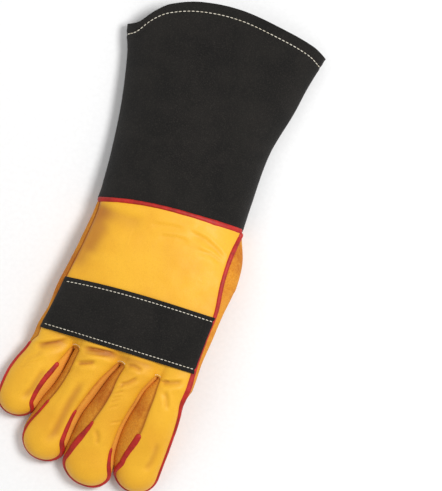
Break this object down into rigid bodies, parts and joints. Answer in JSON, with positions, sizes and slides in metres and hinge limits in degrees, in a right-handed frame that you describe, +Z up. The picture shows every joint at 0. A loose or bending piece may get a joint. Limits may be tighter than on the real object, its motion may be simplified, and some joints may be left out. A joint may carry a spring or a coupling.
{
  "type": "suede welding glove",
  "caption": "Gauntlet welding glove for the right hand, lying palm down: yellow leather back, orange suede palm, black flared cuff, red welts and thumb folded under.",
  "frame": {"origin": "bottom centre of the glove's box, on the surface that it lies on", "axes": "+Y from the fingertips to the cuff's mouth, +X to the thumb's side, +Z up"},
  "size_m": [0.1404, 0.3568, 0.0389],
  "materials": {
    "grain_leather": "smooth yellow grain leather, satin, finely creased",
    "orange_suede": "napped split leather, matt, with darker patches",
    "black_suede": "napped split leather, matt",
    "red_welt": "smooth leather cord in the seams"
  },
  "bodies": {
    "root": {"back": "grain_leather", "knuckle_band": "black_suede", "palm": "orange_suede", "middle_front": "orange_suede", "fourchette_little_ring": "orange_suede", "fourchette_ring_middle": "orange_suede", "fourchette_middle_index": "orange_suede", "thumb_front": "orange_suede", "thumb_back": "orange_suede", "thumb_strap": "grain_leather", "wrist_patch": "orange_suede", "cuff_back": "black_suede", "cuff_front": "black_suede", "cuff_welt": "red_welt", "index_welt": "red_welt", "little_welt": "red_welt", "ring_welt": "red_welt", "middle_welt": "red_welt", "palm_welt": "red_welt", "thumb_welt": "red_welt"}
  },
  "joints": []
}
